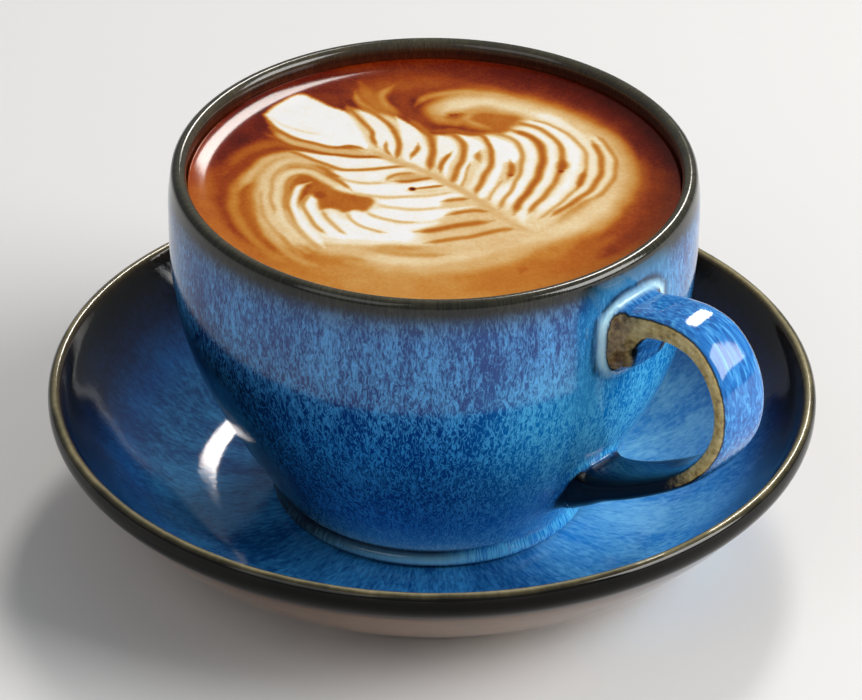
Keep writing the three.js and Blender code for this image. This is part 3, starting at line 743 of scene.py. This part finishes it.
# Whole milk: how white, softness, outline
milkAreas = [
    (0.8, 2.4, [(-17, 29.6), (-8, 26), (-2, 20), (5, 19.6), (13, 21), (18, 25.6), (24, 24), (30, 18), (33.4, 10),
                (32, 1), (27, -7), (19, -17), (14, -12), (6, -4), (-1, 3), (-7, 9), (-14, 13)]),
    (0.88, 2, [(-27, 12.4), (-18, 11.6), (-9, 10.4), (-3, 6.6), (3, 0.6), (9, -6), (16, -14.6), (12, -18), (4, -21),
               (-6, -22), (-16, -22), (-22.6, -20.6), (-26, -14), (-24, -4), (-18, 0.6), (-19.5, 5.4), (-24, 9.6)]),
    (0.74, 4, [(2, -4), (8, -4.4), (16, -14), (19, -17), (12, -20), (0, -22.4), (-2, -19), (1, -12.6), (1, -8)]),
    (1, 1.5, [(-33.4, 26.4), (-31, 30), (-28, 33.4), (-25.6, 34.2), (-23.4, 32.6), (-20.6, 30), (-18, 28.6),
              (-16.4, 26.4), (-15.2, 23.4), (-14.4, 20.4), (-13.7, 17.4), (-12.7, 14.8), (-13.6, 13.6), (-17, 14.6),
              (-20, 14.6), (-24, 15.8), (-27.6, 18), (-30.4, 21), (-32.2, 24)]),
    (0.97, 1.2, [(-26, 11.8), (-22, 11.4), (-17, 10.4), (-12, 9.9), (-8.4, 9.3), (-5.4, 7.9), (-9, 7.4), (-13, 6.5),
                 (-16.5, 6.6), (-19.4, 7.6), (-22.4, 9.5)]),
    (0.97, 1.2, [(-19.8, 5.4), (-16.6, 5), (-13, 5.1), (-9, 5.9), (-5.4, 6.5), (-6.6, 5.2), (-9, 4), (-10, 2.2),
                 (-12.6, 1.5), (-15.6, 1.9), (-18, 3.6)]),
    (0.99, 1.3, [(-17.4, 0.9), (-14, 0.3), (-9, 0.3), (-4.6, 0.8), (0, 1.5), (1, 0.4), (-3.4, -0.6), (-5.6, -1.6),
                 (-4, -3), (-9, -3.7), (-13, -3), (-15.6, -1.6)]),
    (1, 1.3, [(-10.8, -5.6), (-7, -4.9), (-2, -4.5), (3.4, -3), (5.6, -3.4), (2, -5), (1, -7.4), (-3, -8.2),
              (-7, -8), (-9.6, -7)]),
    (1, 1.4, [(-12.6, -8.9), (-9.4, -8.7), (-5, -9.2), (0, -8.8), (5, -8), (8, -7.6), (3, -9.4), (1.4, -11.6),
              (-2, -13.2), (-6, -13.1), (-9, -12.3), (-11.2, -10.8)]),
    (1, 1.6, [(-15.8, -9.9), (-13.4, -10.4), (-11, -12.4), (-8, -13.8), (-3, -14.2), (1, -13.4), (-2, -15.2),
              (-4.4, -16.4), (-3.6, -18.2), (-5, -20.4), (-9, -20.6), (-13, -20), (-18, -19.6), (-21, -18.6),
              (-17, -15)]),
    (0.97, 1.1, [(-14.7, 28.6), (-12.5, 26.8), (-10, 23.6), (-8.4, 20), (-7.8, 17), (-7.4, 13.5), (-7.6, 11.2),
                 (-9, 13), (-10.2, 14), (-11.2, 16), (-11.8, 18.2), (-12, 20.6), (-13, 23.4)]),
    (0.97, 1.1, [(-7.5, 26.2), (-5.5, 24.1), (-3.5, 21.1), (-2.2, 18), (-1.6, 15), (-1.4, 11.5), (-1.7, 8.6),
                 (-2.2, 6.8), (-3.6, 8.2), (-5.4, 9.2), (-6.2, 12), (-6.3, 15), (-6.5, 18), (-6.9, 21),
                 (-7.3, 24)]),
    (0.98, 1.1, [(0.5, 19.2), (2.5, 18.3), (3.9, 16.2), (4.5, 13.6), (3.9, 10.6), (3, 7.4), (2.4, 4.6), (2, 3.4),
                 (1.7, 5.6), (2.2, 9), (2.6, 12), (1.2, 11), (0.8, 7.6), (0.5, 9), (0.3, 14)]),
    (0.98, 1.1, [(4.3, 19.7), (6.5, 18.7), (8.6, 17), (9.6, 14.8), (8.8, 13.2), (7.8, 11), (7, 8), (6, 4.4), (5, 1),
                 (4.4, -0.6), (4.2, 1.6), (4.8, 5), (5.8, 8.4), (6.5, 11.6), (6.5, 15), (5.6, 17.6)]),
    (1, 1.1, [(9.6, 19.3), (12.5, 18.3), (14.9, 16.3), (16, 13.5), (16.2, 10.6), (15.6, 9.4), (13.9, 9.4), (13, 7),
              (12.6, 4.6), (11.8, 2), (10.8, -1), (9.8, -4), (8.7, -4.6), (8.8, -2), (9.8, 1), (10.8, 4), (11.6, 7),
              (11.9, 10), (11.5, 13), (10.7, 16.6)]),
]

# Feathers of milk that run down to the stem
milkStrokes = [
    (0.9, 1.2, [(9.8, 10.4), (9.2, 7), (8, 3), (6.8, -0.8), (6.4, -2.6)]),
    (0.98, 2.1, [(15.6, 2.6), (14, 0.4), (12.6, -2.6), (11.8, -5), (11.4, -7.4)]),
    (0.99, 2.3, [(13, 20.9), (15.8, 19.4), (17.8, 16.6), (18.8, 13), (18.8, 9), (18, 5), (16.8, 1), (15.2, -3.5),
                 (13.9, -8.4)]),
    (0.97, 1.9, [(15, 23), (18, 21.5), (20.5, 19.2), (22.1, 16.2), (22.7, 13), (22.6, 9), (21.9, 5), (20.8, 1),
                 (19.3, -3), (17.8, -6.6), (16.7, -9.8)]),
    (0.97, 2.2, [(19, -4), (17.8, -7.6), (17, -10.6), (17.2, -14)]),
    (0.98, 2.1, [(16.4, 25.5), (20, 24.1), (23.1, 21.3), (25.5, 17.6), (26.8, 13.6), (27.1, 9.6), (26.5, 5),
                 (25.1, 0.6), (23.4, -3.5), (21.4, -7), (19.6, -10.4)]),
    (1, 2, [(24.6, 19), (26.3, 15.6), (27.2, 11.6), (27, 7.4)]),
    (0.9, 1.6, [(19, 27.2), (23, 25.1), (26.6, 21.6), (29.1, 17.6), (30.5, 13), (30.7, 9), (30.1, 4.5), (28.6, 0),
                (26.4, -4.5), (23.4, -9)]),
    (0.93, 2, [(19, 28.4), (23.4, 25.6), (27.2, 21.6)]),
    (0.85, 1.4, [(29.3, 20.6), (32.1, 16.5), (33.5, 12), (33.8, 8), (33, 3.5), (31, -1), (28.2, -5)]),
]

# Eyes of the two swirls, where the crema shows: how milky, softness, outline
eyes = [
    (0.56, 4, [(4.4, 25.4), (6.4, 28.8), (10, 30.4), (14, 28.8), (17, 26.4), (13, 21), (8, 22), (6, 23)]),
    (0.36, 2, [(7, 25.2), (8, 27.4), (10.4, 28.1), (13, 27.5), (16.4, 26.2), (15.7, 24.6), (14.4, 22.8),
               (12.8, 20.4), (11.5, 20.7), (10.5, 22.5), (8.8, 23.9)]),
    (0.35, 1.6, [(-25.6, 3.7), (-23.6, 1.9), (-21, -0.2), (-18, -2.4), (-15, -3.4), (-12.4, -4.4), (-11.3, -6.2),
                 (-12, -8), (-13.2, -9.6), (-15, -9.2), (-17, -10.2), (-18.5, -8.9), (-20.2, -8.7), (-21.4, -9.4),
                 (-22.3, -6.6), (-23, -4), (-24, -2.7), (-23.8, -0.4), (-25.2, 0.8), (-27, -1.2), (-28, 0.4),
                 (-27.6, 2.6)]),
]

# White fingers of milk that the left eye runs between
milkFingers = [
    (0.99, 1.6, [(-23.9, 0.7), (-25.7, -0.9), (-26.7, -4), (-26.6, -8), (-25.8, -12), (-24.2, -16), (-22.4, -20),
                 (-20.6, -23)]),
    (0.99, 1.7, [(-22.9, -3.6), (-23.6, -7), (-23, -10.4), (-21.8, -13.4), (-20, -16.4), (-17.2, -19.8)]),
    (0.99, 1.9, [(-19.7, -9), (-18.7, -12), (-16.8, -15), (-14, -18), (-10, -20)]),
    (0.99, 2, [(-15.5, -9.8), (-14, -12.2), (-11.8, -14.6), (-8, -16.4)]),
]

# Brown and tan lines between the leaves
brownLines = [
    (0.4, 1, [(-17.2, 31), (-15.6, 27), (-14.3, 24.5), (-13, 22), (-12.2, 20), (-12.3, 18), (-11.7, 16),
              (-11.2, 14.5)]),
    (0.46, 0.8, [(-9.6, 17), (-9.5, 14.5), (-9, 12.5), (-8, 10.7)]),
    (0.4, 1.1, [(-15.2, 30.6), (-12, 27.8), (-10, 24.6), (-8.3, 21.5), (-7.3, 18), (-7, 15), (-7, 12),
                (-7.3, 9.8)]),
    (0.4, 1.1, [(-3.2, 16.5), (-3.4, 14), (-4, 12), (-4.5, 9.8)]),
    (0.36, 1.4, [(-5.2, 26), (-3, 22.5), (-1.3, 19.5), (-0.4, 16), (-0.4, 12), (-0.7, 8), (-1.1, 5.6)]),
    (0.37, 1, [(3.5, 13.2), (2.2, 10.5), (1.4, 7.5), (1, 4.8)]),
    (0.4, 1.2, [(2, 20.3), (4, 18.7), (5.4, 16), (5.8, 13), (5.3, 9.5), (4.4, 6), (3.6, 3), (3.2, 0.4)]),
    (0.48, 1.3, [(8.8, 13.6), (8.5, 11), (8.9, 8.8)]),
    (0.4, 1.1, [(7.5, 20.3), (9.4, 18.8), (10.4, 16), (11, 13), (11.2, 10), (10.6, 7), (9.6, 4), (8.6, 0.5),
                (7.8, -3.2)]),
    (0.6, 0.6, [(7, 9.4), (6.2, 5), (5.4, 1), (5.2, -1)]),
    (0.36, 1.4, [(14.7, 10.4), (15, 8), (14.6, 5), (14.1, 2.8)]),
    (0.53, 0.9, [(10.2, 20.2), (13.5, 19.4), (15.8, 17), (16.8, 14), (17, 10.5), (16.6, 6), (15.6, 2), (14.4, -2),
                 (13, -6), (12.5, -8.4)]),
    (0.64, 0.6, [(13.4, 3), (11.8, 0), (10.9, -3.5), (10.2, -6.2)]),
    (0.33, 1.6, [(14.2, 22), (17, 20.3), (19.4, 17.7), (20.7, 14.7), (21, 11), (20.6, 7), (19.6, 3), (18.3, -0.8),
                 (16.8, -4.6), (15.8, -8), (15.3, -10.4)]),
    (0.45, 1.1, [(15, 24.8), (18, 23.6), (20.8, 21.6), (23, 18.6), (24.4, 15), (24.9, 11), (24.4, 6.5), (23.4, 3),
                 (22.3, -0.5), (20.8, -4), (19, -7.6), (17.8, -10.4)]),
    (0.3, 2, [(24.5, 11.4), (24.7, 8.4), (24.2, 5)]),
    (0.6, 0.8, [(18.2, 25.8), (22, 23.8), (25, 21), (27.5, 17.5), (29, 14), (29.5, 10), (29, 6), (28, 2),
                (26.6, -1.5), (24.7, -5), (22.3, -9), (19.8, -12.2)]),
    (0.34, 1.3, [(29, 7), (28.4, 3.4), (27.2, -0.8)]),
    (0.4, 1.2, [(30.4, 18), (31.7, 14), (32.3, 10.5), (32.3, 7), (31.4, 3), (29.8, -1), (27.3, -4.6), (24.8, -8),
                (22.2, -11.2)]),
    (0.5, 0.9, [(31.2, 20), (33.4, 16), (34.8, 12), (35.2, 9), (34.8, 5), (33.6, 1), (30.8, -4.2)]),
    (0.62, 0.9, [(33.8, 19), (35.8, 14.6), (36.8, 10)]),
    (0.88, 0.8, [(-32, 25.6), (-29, 22.1), (-26, 20.3), (-21.6, 18.8)]),
    (0.36, 0.9, [(-33, 25.4), (-31.2, 21.5), (-29, 18.7), (-26, 16.7), (-23, 15.3), (-20, 14.3), (-18, 14.2),
                 (-16, 14.6), (-14, 14), (-13, 13.3)]),
    (0.33, 1.2, [(-19, 14.3), (-16.6, 14.6), (-14.6, 14.2)]),
    (0.28, 1, [(-33.4, 19.8), (-31, 17.2), (-28, 14.7), (-25, 13), (-22, 12), (-18, 11.2), (-14, 10.8), (-10, 10.5),
               (-7.8, 10.2)]),
    (0.42, 1, [(-28.6, 13), (-26, 11.2), (-24, 9.8), (-22, 8.3), (-20, 7), (-18, 6), (-15, 5.7), (-12, 6),
               (-9, 6.7), (-6, 7.2), (-3.6, 7.2)]),
    (0.42, 1, [(-22.8, 7.4), (-20.8, 5), (-19, 2.6), (-17.6, 0.4), (-16, -1.8)]),
    (0.72, 0.8, [(-19, 3), (-16.5, 1.6), (-14, 1), (-11, 0.7), (-8.8, 0.9)]),
    (0.64, 2.2, [(-9, 2), (-5, 3.4), (0, 3.6)]),
    (0.5, 0.9, [(-9.4, 1), (-9, 2.6), (-7.5, 3.8), (-5.5, 4.5), (-2.8, 4.9)]),
    (0.37, 1.1, [(-8.6, 1.4), (-5.5, 1.7), (-3, 2.4), (-1, 2.9), (0.7, 2.6)]),
    (0.36, 0.8, [(-4.6, -1.3), (-2, -0.7), (0, -0.1), (2.4, 0.4)]),
    (0.78, 1.6, [(-5, -2.2), (-2, -2), (2, -1.2)]),
    (0.72, 0.9, [(-16, -2.2), (-14, -3.6), (-11, -4.3), (-7, -4.4), (-3, -3.8), (0, -3.2), (3.8, -2.1)]),
    (0.4, 1, [(1.2, -5.9), (4, -5.2), (7.3, -4.4)]),
    (0.76, 1, [(-11.2, -6.5), (-9, -8), (-6, -8.7), (-2, -8.6), (1.8, -8)]),
    (0.4, 1.1, [(2.2, -10.8), (5, -9.8), (8, -9.2), (11.2, -9.4)]),
    (0.7, 0.9, [(-13.2, -9.6), (-11, -11.8), (-9, -12.8), (-6, -13.5), (-2.6, -13.6)]),
    (0.68, 0.9, [(-16.6, -9.8), (-15.6, -12.8), (-13.6, -15.4), (-11, -17), (-8.8, -17.6)]),
    (0.62, 0.9, [(-21.2, -9), (-20.3, -12.5), (-18.8, -15.5), (-16.4, -18.4)]),
    (0.56, 0.9, [(-24, -3), (-24.9, -7), (-24.1, -11), (-22.6, -15), (-20.4, -18.6)]),
    (0.5, 1.1, [(-28.5, -10), (-28.1, -5), (-28, 0), (-27, 2.9), (-25.4, 3.6)]),
    (0.66, 0.9, [(-28.4, -9), (-27.4, -13), (-25.8, -17), (-23.8, -20.8)]),
    (0.6, 0.8, [(-20.6, 4), (-23, 6.2), (-25, 7.1), (-27, 7.3), (-29, 6.4), (-30.5, 4.2), (-31.2, 0.6), (-31.2, -5),
                (-30.2, -11)]),
    (0.62, 0.9, [(-33.2, -2), (-33, -8), (-31.8, -13.6), (-29.4, -19), (-26.4, -23.6)]),
    (0.52, 1, [(-29.4, -18), (-27, -23), (-24.4, -27)]),
    (0.36, 1.7, [(-3.8, -17.1), (-1, -16.4), (2, -15.5), (6, -14.3), (9, -13.3), (11.4, -12.6)]),
    (0.42, 1.3, [(-2, -21), (1, -20.4), (4, -19.4), (7, -18.6), (10, -17.3), (13, -15.9), (16, -15.2)]),
    (0.57, 1.6, [(-12.6, -23.6), (-9, -24.6), (-6, -25.2), (-2, -25.5), (3, -25)]),
    (0.3, 1.5, [(-1.8, 21.4), (0, 21), (2, 20.9), (3.4, 21.2), (5, 20.6), (8, 19.8), (10.4, 20)]),
    (0.69, 1.7, [(-12.6, 13.8), (-9.5, 10.6), (-6.5, 8.4), (-3.5, 6.6), (-0.6, 4.2), (2, 1.6), (4.6, -1),
                 (7.4, -4.2), (10.4, -7.8), (13.2, -11.4), (16, -14.8), (18.6, -17)]),
]

# Drops of darker coffee: how milky, radius, place
darkDrops = [(0, 0.8, (-4.2, -1.2)), (0.2, 0.6, (24.4, 6)), (0.26, 0.6, (14.7, 4.4)), (0.22, 1.5, (-21.9, -3.8)),
             (0.3, 1, (3.2, 21))]


def latteShape(s):
    n = s["grid"]
    line = np.linspace(-1, 1, n + 1)
    a, b = np.meshgrid(line, line, indexing="ij")
    # square grid carried onto the disc, so the surface has even faces and no pole
    wide = np.abs(a) >= np.abs(b)
    with np.errstate(divide="ignore", invalid="ignore"):
        angle = np.where(wide, math.pi / 4 * np.nan_to_num(b / a), math.pi / 2 - math.pi / 4 * np.nan_to_num(a / b))
    r = np.where(wide, a, b)
    u, v = r * np.cos(angle) * s["radius"], r * np.sin(angle) * s["radius"]
    rim = np.hypot(u, v)
    z = s["top"] + s["rise"] * np.clip((rim - s["riseFrom"]) / s["riseWidth"], 0, 1) ** s["risePower"]
    points = [np.stack([u.ravel(), v.ravel(), z.ravel()], 1)]
    ids = np.arange((n + 1) ** 2).reshape(n + 1, n + 1)
    faces = np.stack([ids[:-1, :-1], ids[1:, :-1], ids[1:, 1:], ids[:-1, 1:]], -1).reshape(-1, 4).tolist()
    ring = np.concatenate([ids[:-1, 0], ids[-1, :-1], ids[:0:-1, -1], ids[0, :0:-1]])
    around = points[0][ring, :2] / s["radius"]
    base = (n + 1) ** 2
    upper = ring
    for radius, height in s["side"]:
        lower = np.arange(base, base + len(ring))
        points.append(np.column_stack([around * radius, np.full(len(ring), height)]))
        nextUpper, nextLower = np.roll(upper, -1), np.roll(lower, -1)
        faces += np.stack([upper, lower, nextLower, nextUpper], 1).tolist()
        upper, base = lower, base + len(ring)
    points.append(np.array([[0, 0, s["side"][-1][1] - 0.1]]))
    faces += np.stack([upper, np.full(len(upper), base), np.roll(upper, -1)], 1).tolist()
    return np.vstack(points), faces, (n + 1) ** 2


strokeStep = 0.3  # between the points that a stroke is measured from
atOnce = 8000  # points of the surface worked on together


def coverLine(plan, path, width):
    # how far each point is covered by a stroke along the path, melting away at its sides and ends
    track = smoothRows(path, strokeStep)
    length = strokeStep * (len(track) - 1)
    near = np.flatnonzero(np.all((plan > track.min(0) - 1.4 * width) & (plan < track.max(0) + 1.4 * width), axis=1))
    cover = np.zeros(len(plan))
    for part in np.array_split(near, max(1, len(near) // atOnce)):
        gap = np.hypot(plan[part, None, 0] - track[None, :, 0], plan[part, None, 1] - track[None, :, 1])
        along = gap.argmin(1) * strokeStep
        full = smoothStep(0, min(0.45 * length, 0.6 + 1.5 * width), np.minimum(along, length - along))
        half = width / 2 * (0.35 + 0.65 * full)
        cover[part] = np.exp(-0.7 * (gap.min(1) / half) ** 2.6) * (0.4 + 0.6 * full)
    return cover


def coverArea(plan, outline, soft):
    # the same for the inside of an outline
    track = smoothRows(list(outline) + [outline[0]], 0.5)
    near = np.flatnonzero(np.all((plan > track.min(0) - soft) & (plan < track.max(0) + soft), axis=1))
    cover = np.zeros(len(plan))
    a, b = track[:-1], track[1:]
    for part in np.array_split(near, max(1, len(near) // atOnce)):
        p = plan[part]
        gap = np.hypot(p[:, None, 0] - track[None, :, 0], p[:, None, 1] - track[None, :, 1]).min(1)
        crosses = (a[None, :, 1] > p[:, None, 1]) != (b[None, :, 1] > p[:, None, 1])
        with np.errstate(divide="ignore", invalid="ignore"):
            at = a[None, :, 0] + (p[:, None, 1] - a[None, :, 1]) * (b - a)[None, :, 0] / (b - a)[None, :, 1]
        inside = (crosses & (p[:, None, 0] < at)).sum(1) % 2 == 1
        cover[part] = smoothStep(-soft / 2, soft / 2, np.where(inside, gap, -gap))
    return cover


def pourArt(plan):
    u, v = plan[:, 0], plan[:, 1]
    # hand-poured lines waver a little
    wave = plan + 0.1 * np.column_stack([np.sin(0.9 * v + 0.4 * u) + np.sin(0.33 * v - 1.7),
                                         np.sin(0.8 * u - 0.5 * v) + np.sin(0.41 * u + 2.1)])
    # painted shadow of the rim: the crema darkens away from the viewer and to the right
    milk = np.clip(0.27 - 0.006 * v - 0.003 * np.maximum(u, 0) + 0.0008 * np.minimum(u, 0), 0.08, 0.6)
    for value, width, path in cremaFlows + creamBands:
        milk += (value - milk) * 0.92 * coverLine(wave, path, width)
    for value, soft, outline in milkAreas:
        milk += (value - milk) * coverArea(wave, outline, soft)
    for value, width, path in milkStrokes:
        milk += (value - milk) * coverLine(wave, path, width)
    for value, soft, outline in eyes:
        milk += (value - milk) * coverArea(wave, outline, soft)
    for value, width, path in milkFingers + brownLines:
        milk += (value - milk) * coverLine(wave, path, width)
    for value, size, (x, y) in darkDrops:
        milk += (value - milk) * (1 - smoothStep(size * 0.4, size * 1.3, np.hypot(u - x, v - y)))
    return milk


def milkFoamMaterial():
    # Fine wet foam: white milk that shades through cream and tan into red-brown crema, dark at the far edge with a
    # painted shadow of the rim
    material, tree = newMaterial("milkFoam")
    milk = addNode(tree, "ShaderNodeAttribute", attribute_name="milk").outputs["Fac"]
    place = addNode(tree, "ShaderNodeTexCoord").outputs["Object"]
    drift = addNode(tree, "ShaderNodeTexNoise", {"Vector": place, "Scale": 220.0, "Detail": 4.0,
                                                 "Roughness": 0.6}).outputs["Fac"]
    drift = addNode(tree, "ShaderNodeMapRange", {"Value": drift, "From Min": 0.3, "From Max": 0.7,
                                                 "To Min": -0.03, "To Max": 0.03}).outputs[0]
    grain = addNode(tree, "ShaderNodeTexNoise", {"Vector": place, "Scale": 1600.0, "Detail": 2.0}).outputs["Fac"]
    grain = addNode(tree, "ShaderNodeMapRange", {"Value": grain, "From Min": 0.3, "From Max": 0.7,
                                                 "To Min": -0.025, "To Max": 0.025}).outputs[0]
    shift = addNode(tree, "ShaderNodeMath", {0: drift, 1: grain}, operation="ADD").outputs[0]
    shift = addNode(tree, "ShaderNodeMath", {0: milk, 1: shift}, operation="ADD").outputs[0]
    shade = addRamp(tree, shift, [(0.0, "#3d0601"), (0.1, "#6a1903"), (0.22, "#953b05"), (0.34, "#b05e10"),
                                  (0.46, "#c07a28"), (0.58, "#cc9850"), (0.7, "#dab37a"), (0.8, "#e6cd9f"),
                                  (0.9, "#eee2c8"), (1.0, "#f2f1f0")])
    surface = addNode(tree, "ShaderNodeBsdfPrincipled",
                      {"Base Color": shade, "Roughness": 0.1, "IOR": 1.35, "Specular IOR Level": 0.4,
                       "Subsurface Weight": 0.1, "Subsurface Radius": (1.2 * mm, 0.8 * mm, 0.5 * mm)})
    addNode(tree, "ShaderNodeOutputMaterial", {"Surface": surface.outputs[0]})
    return material


milkFoam = milkFoamMaterial()
lattePoints, latteFaces, topCount = latteShape(latteSet)
across, aside = math.cos(viewAngle), math.sin(viewAngle)
planU, planV = lattePoints[:, 0], lattePoints[:, 1]
lattePlaces = np.column_stack([axisX + planU * across - planV * aside, planU * aside + planV * across,
                               lattePoints[:, 2]]) * mm
latteMesh = bpy.data.meshes.new("latte")
latteMesh.from_pydata(lattePlaces.tolist(), [], latteFaces)
below = np.full(len(lattePoints) - topCount, 0.4)
storeFloat(latteMesh, "milk", np.concatenate([pourArt(lattePoints[:topCount, :2]), below]))
latteMesh.update()
latte = addPiece("latte", latteMesh, milkFoam)
print("latte poured:", len(latteMesh.polygons), "faces")

for piece, node, slotName in ((saucer, "saucer", "saucer_glaze"), (cup, "cup", "cup_glaze"), (latte, "latte", "latte")):
    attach(piece, "root")
    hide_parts(node)


floorMesh = bpy.data.meshes.new("floor")
floorMesh.from_pydata([(-3, -3, 0), (3, -3, 0), (3, 3, 0), (-3, 3, 0)], [], [(0, 1, 2, 3)])  # 6 m square
floorPaint, floorTree = newMaterial("paleFloor")
floorShader = addNode(floorTree, "ShaderNodeBsdfPrincipled", {"Base Color": toLinear("#e6e5e4"), "Roughness": 0.6})
addNode(floorTree, "ShaderNodeOutputMaterial", {"Surface": floorShader.outputs[0]})
floor = addPiece("floor", floorMesh, floorPaint)

world = bpy.data.worlds.new("studio")
scene.world = world
world.use_nodes = True
world.node_tree.nodes["Background"].inputs["Color"].default_value = (0.9, 0.95, 1.0, 1)
world.node_tree.nodes["Background"].inputs["Strength"].default_value = 0.24


def addLight(name, size, place, aim, power, shade):
    data = bpy.data.lights.new(name, "AREA")
    data.shape = "RECTANGLE"
    data.size, data.size_y = size
    data.energy = power
    data.color = toLinear(shade)[:3]
    lamp = bpy.data.objects.new(name, data)
    scene.collection.objects.link(lamp)
    lamp.location = place
    lamp.rotation_mode = "QUATERNION"
    lamp.rotation_quaternion = (Vector(aim) - Vector(place)).to_track_quat("-Z", "Y")


right = Vector((across, aside, 0))
away = Vector((-aside, across, 0))
addLight("window", (0.315, 0.67), 0.33 * right + 1.48 * away + Vector((0, 0, 1.37)), (0, 0, 0.073), 15, "#fffaf4")
addLight("rightKey", (0.95, 0.8), 1.13 * right - 0.26 * away + Vector((0, 0, 0.8)), (0, 0, 0.05), 21, "#fbfaf8")
addLight("fill", (1.2, 1.2), -0.9 * right - 1.1 * away + Vector((0, 0, 1.2)), (0, 0, 0.04), 5, "#ffffff")

cameraSet = {"distance": 1.3291, "elevation": 32.207, "lens": 284.9, "height": 36.29, "across": -0.29, "roll": 0.618}
e = math.radians(cameraSet["elevation"])
back = Vector((aside * math.cos(e), -across * math.cos(e), math.sin(e)))
upward = back.cross(right)
roll = math.radians(cameraSet["roll"])
camRight = right * math.cos(roll) + upward * math.sin(roll)
camUp = upward * math.cos(roll) - right * math.sin(roll)
target = Vector((axisX, 0, cameraSet["height"])) * mm + right * cameraSet["across"] * mm
cameraData = bpy.data.cameras.new("photoView")
cameraData.lens = cameraSet["lens"]
camera = bpy.data.objects.new("photoView", cameraData)
scene.collection.objects.link(camera)
facing = Matrix((camRight, camUp, back)).transposed().to_4x4()
camera.matrix_world = Matrix.Translation(target + back * cameraSet["distance"]) @ facing
scene.camera = camera
scene.view_settings.view_transform = "Standard"
print("stage set")
